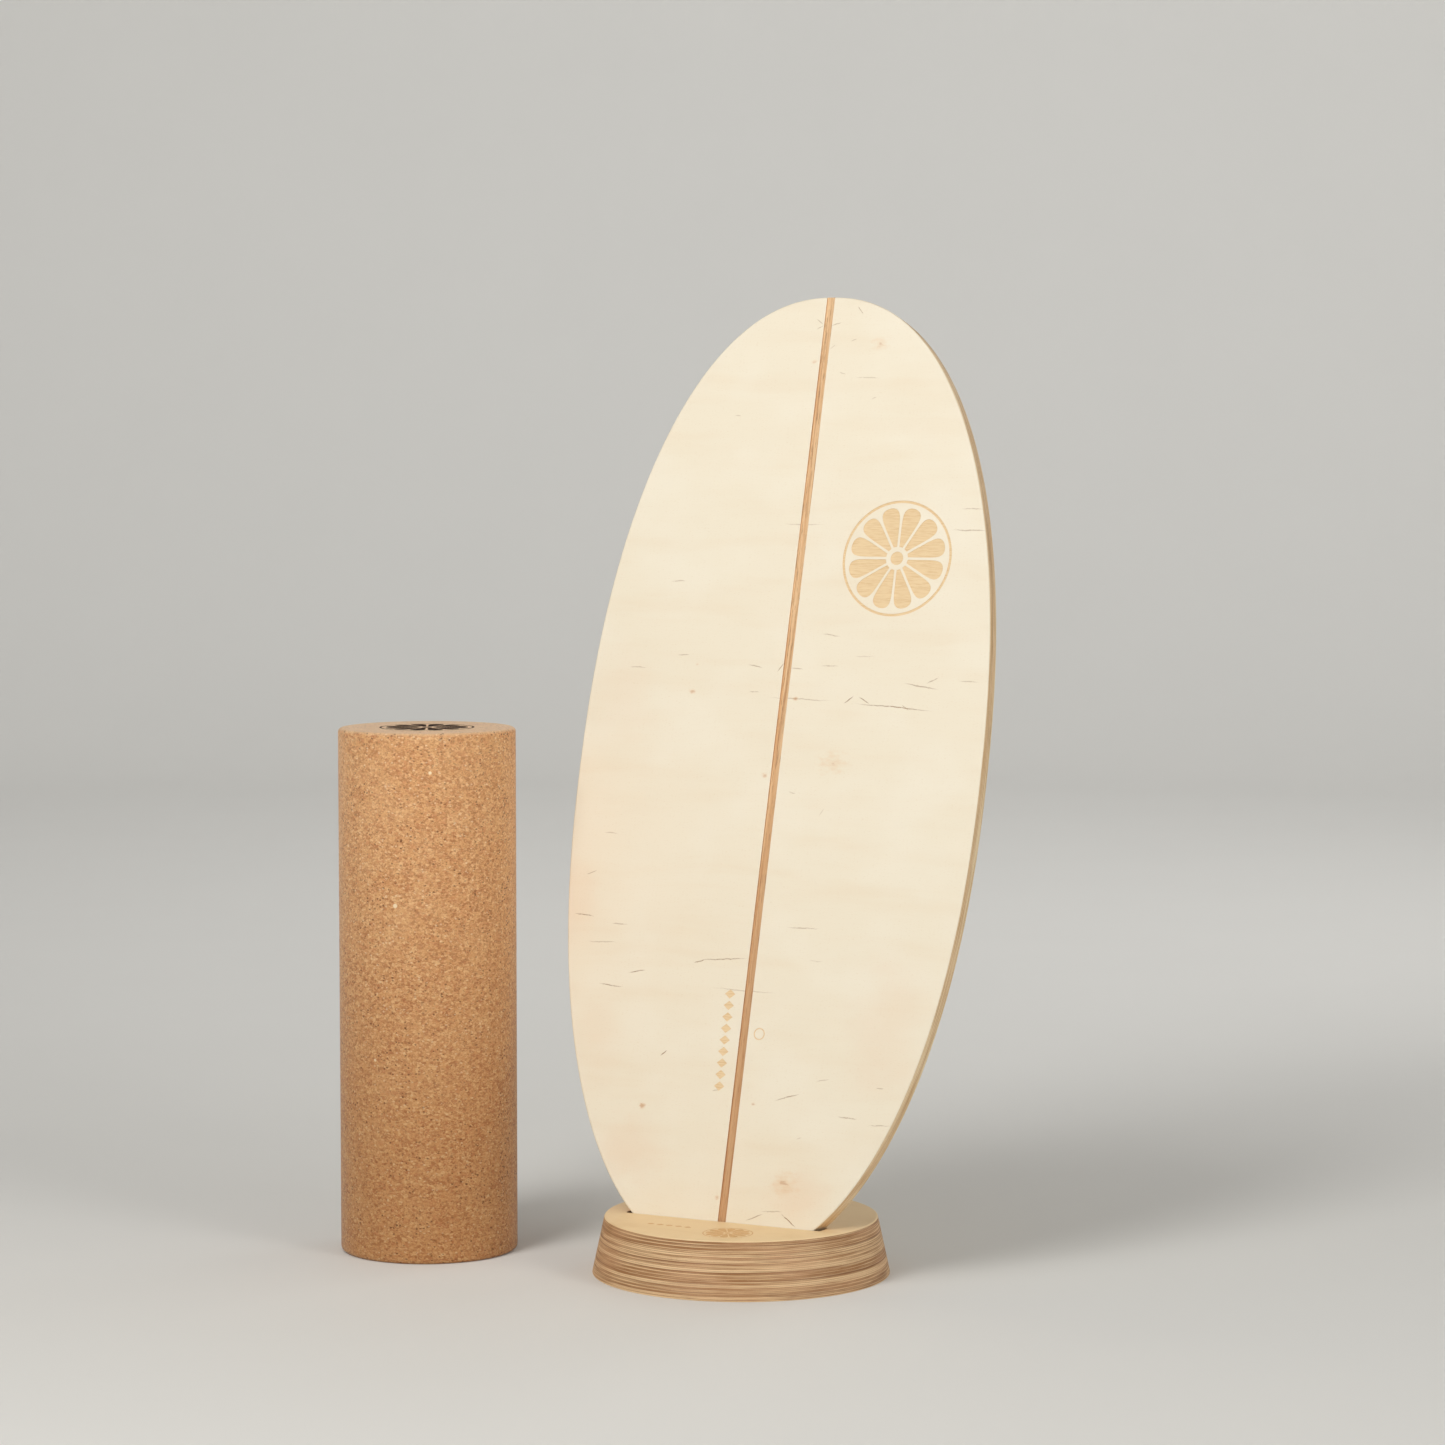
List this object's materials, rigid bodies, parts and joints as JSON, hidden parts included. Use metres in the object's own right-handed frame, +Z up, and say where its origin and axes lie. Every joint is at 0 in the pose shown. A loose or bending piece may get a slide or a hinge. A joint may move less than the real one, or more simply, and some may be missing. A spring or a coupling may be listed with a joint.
{
  "type": "roller balance board",
  "caption": "Oval plywood balance board leaning in the slot of a round laminated display stand, with its solid cork roller standing on end beside it.",
  "frame": {"origin": "centre of the display stand's underside, on the surface that the set stands on", "axes": "+Z up; +X across the deck, so the riding face looks towards -Y and the roller stands on the -X side; the deck leans back towards +Y"},
  "size_m": [0.542, 0.3078, 0.8064],
  "materials": {
    "birch_plywood": "satin",
    "stand_plywood": "satin",
    "pressed_cork": "matte",
    "screw_steel": "satin"
  },
  "bodies": {
    "stand": {"stand_base_disc": "stand_plywood", "stand_lower_disc": "stand_plywood", "stand_middle_disc": "stand_plywood", "stand_top_disc": "stand_plywood"},
    "deck": {"deck_board": "birch_plywood", "upper_stop_rail": "birch_plywood", "lower_stop_rail": "birch_plywood", "upper_rail_screw_left": "screw_steel", "upper_rail_screw_middle": "screw_steel", "upper_rail_screw_right": "screw_steel", "lower_rail_screw_left": "screw_steel", "lower_rail_screw_middle": "screw_steel", "lower_rail_screw_right": "screw_steel"},
    "roller": {"cork_roller": "pressed_cork"}
  },
  "joints": [
    {"name": "deck_lift", "type": "slide", "parent": "stand", "child": "deck", "axis": [0, 0.2622, 0.965], "range_m": [0, 0.08]},
    {"name": "roller_lift", "type": "slide", "parent": "stand", "child": "roller", "axis": [0, 0, 1], "range_m": [0, 0.25]}
  ]
}
